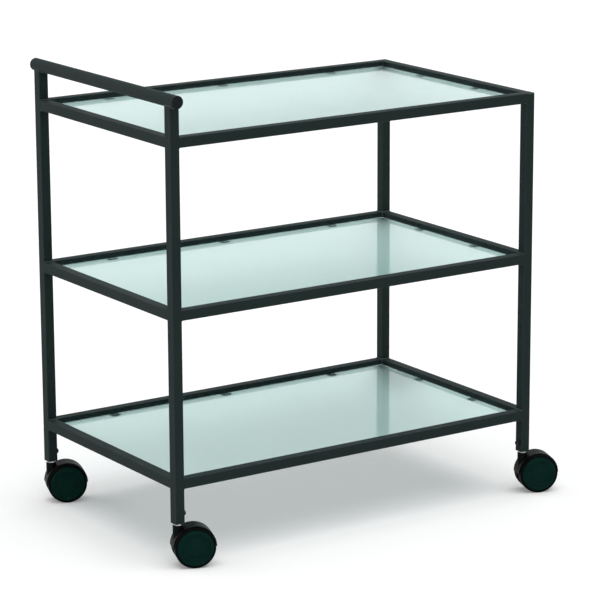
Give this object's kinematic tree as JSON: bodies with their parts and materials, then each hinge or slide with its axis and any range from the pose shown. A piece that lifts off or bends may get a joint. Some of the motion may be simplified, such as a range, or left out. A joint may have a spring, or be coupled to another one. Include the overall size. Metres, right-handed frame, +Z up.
{
  "type": "serving trolley",
  "caption": "Serving trolley with a welded square-tube frame, glass shelves, a round push bar at one end and twin-wheel swivel castors.",
  "frame": {"origin": "on the floor under the middle of the whole trolley, which is the middle of the four castors' wheels at rest", "axes": "+X along the trolley away from the push bar, +Y towards the far long side, +Z up"},
  "size_m": [0.9216, 0.5618, 0.9105],
  "materials": {
    "frame_paint": "satin dark grey powder coat",
    "glass": "toughened float glass with a green tint, glossy on top and satin-etched underneath",
    "clear_pad": "clear soft pad",
    "black_plastic": "fine-grained moulded plastic",
    "zinc_steel": "bright zinc-plated steel",
    "black_screw": "black-coated steel",
    "castor_plastic": "moulded black nylon, slightly glossy",
    "wheel_plastic": "moulded black nylon, slightly glossy",
    "tyre": "smooth black soft tread"
  },
  "bodies": {
    "root": {"post_front_left": "frame_paint", "post_rear_left": "frame_paint", "post_front_right": "frame_paint", "post_rear_right": "frame_paint", "bottom_front_rail": "frame_paint", "bottom_rear_rail": "frame_paint", "bottom_left_rail": "frame_paint", "bottom_right_rail": "frame_paint", "bottom_glass": "glass", "bottom_glass_tabs": "frame_paint", "bottom_glass_pads": "clear_pad", "middle_front_rail": "frame_paint", "middle_rear_rail": "frame_paint", "middle_left_rail": "frame_paint", "middle_right_rail": "frame_paint", "middle_glass": "glass", "middle_glass_tabs": "frame_paint", "middle_glass_pads": "clear_pad", "top_front_rail": "frame_paint", "top_rear_rail": "frame_paint", "top_left_rail": "frame_paint", "top_right_rail": "frame_paint", "top_glass": "glass", "top_glass_tabs": "frame_paint", "top_glass_pads": "clear_pad", "push_bar": "frame_paint", "push_bar_plugs": "black_plastic", "post_plates": "frame_paint", "leg_inserts": "zinc_steel", "insert_screws": "black_screw", "castor_clips": "zinc_steel", "castor_front_left_stem": "zinc_steel", "castor_rear_left_stem": "zinc_steel", "castor_front_right_stem": "zinc_steel", "castor_rear_right_stem": "zinc_steel"},
    "castor_front_left": {"castor_front_left_hood": "castor_plastic", "castor_front_left_axle": "zinc_steel"},
    "castor_front_left_near_wheel": {"castor_front_left_near_wheel": "wheel_plastic", "castor_front_left_near_tyre": "tyre"},
    "castor_front_left_far_wheel": {"castor_front_left_far_wheel": "wheel_plastic", "castor_front_left_far_tyre": "tyre"},
    "castor_rear_left": {"castor_rear_left_hood": "castor_plastic", "castor_rear_left_axle": "zinc_steel"},
    "castor_rear_left_near_wheel": {"castor_rear_left_near_wheel": "wheel_plastic", "castor_rear_left_near_tyre": "tyre"},
    "castor_rear_left_far_wheel": {"castor_rear_left_far_wheel": "wheel_plastic", "castor_rear_left_far_tyre": "tyre"},
    "castor_front_right": {"castor_front_right_hood": "castor_plastic", "castor_front_right_axle": "zinc_steel"},
    "castor_front_right_near_wheel": {"castor_front_right_near_wheel": "wheel_plastic", "castor_front_right_near_tyre": "tyre"},
    "castor_front_right_far_wheel": {"castor_front_right_far_wheel": "wheel_plastic", "castor_front_right_far_tyre": "tyre"},
    "castor_rear_right": {"castor_rear_right_hood": "castor_plastic", "castor_rear_right_axle": "zinc_steel"},
    "castor_rear_right_near_wheel": {"castor_rear_right_near_wheel": "wheel_plastic", "castor_rear_right_near_tyre": "tyre"},
    "castor_rear_right_far_wheel": {"castor_rear_right_far_wheel": "wheel_plastic", "castor_rear_right_far_tyre": "tyre"}
  },
  "joints": [
    {"name": "castor_front_left_swivel", "type": "hinge", "parent": "root", "child": "castor_front_left", "pos_m": [-0.44319, -0.23574, 0.0865], "axis": [0, 0, 1], "continuous": true},
    {"name": "castor_front_left_near_wheel_spin", "type": "hinge", "parent": "castor_front_left", "child": "castor_front_left_near_wheel", "pos_m": [-0.415, -0.246, 0.04], "axis": [0.342, 0.9397, 0], "continuous": true},
    {"name": "castor_front_left_far_wheel_spin", "type": "hinge", "parent": "castor_front_left", "child": "castor_front_left_far_wheel", "pos_m": [-0.415, -0.246, 0.04], "axis": [0.342, 0.9397, 0], "continuous": true},
    {"name": "castor_rear_left_swivel", "type": "hinge", "parent": "root", "child": "castor_rear_left", "pos_m": [-0.44319, 0.25626, 0.0865], "axis": [0, 0, 1], "continuous": true},
    {"name": "castor_rear_left_near_wheel_spin", "type": "hinge", "parent": "castor_rear_left", "child": "castor_rear_left_near_wheel", "pos_m": [-0.415, 0.246, 0.04], "axis": [0.342, 0.9397, 0], "continuous": true},
    {"name": "castor_rear_left_far_wheel_spin", "type": "hinge", "parent": "castor_rear_left", "child": "castor_rear_left_far_wheel", "pos_m": [-0.415, 0.246, 0.04], "axis": [0.342, 0.9397, 0], "continuous": true},
    {"name": "castor_front_right_swivel", "type": "hinge", "parent": "root", "child": "castor_front_right", "pos_m": [0.38681, -0.23574, 0.0865], "axis": [0, 0, 1], "continuous": true},
    {"name": "castor_front_right_near_wheel_spin", "type": "hinge", "parent": "castor_front_right", "child": "castor_front_right_near_wheel", "pos_m": [0.415, -0.246, 0.04], "axis": [0.342, 0.9397, 0], "continuous": true},
    {"name": "castor_front_right_far_wheel_spin", "type": "hinge", "parent": "castor_front_right", "child": "castor_front_right_far_wheel", "pos_m": [0.415, -0.246, 0.04], "axis": [0.342, 0.9397, 0], "continuous": true},
    {"name": "castor_rear_right_swivel", "type": "hinge", "parent": "root", "child": "castor_rear_right", "pos_m": [0.38681, 0.25626, 0.0865], "axis": [0, 0, 1], "continuous": true},
    {"name": "castor_rear_right_near_wheel_spin", "type": "hinge", "parent": "castor_rear_right", "child": "castor_rear_right_near_wheel", "pos_m": [0.415, 0.246, 0.04], "axis": [0.342, 0.9397, 0], "continuous": true},
    {"name": "castor_rear_right_far_wheel_spin", "type": "hinge", "parent": "castor_rear_right", "child": "castor_rear_right_far_wheel", "pos_m": [0.415, 0.246, 0.04], "axis": [0.342, 0.9397, 0], "continuous": true}
  ]
}
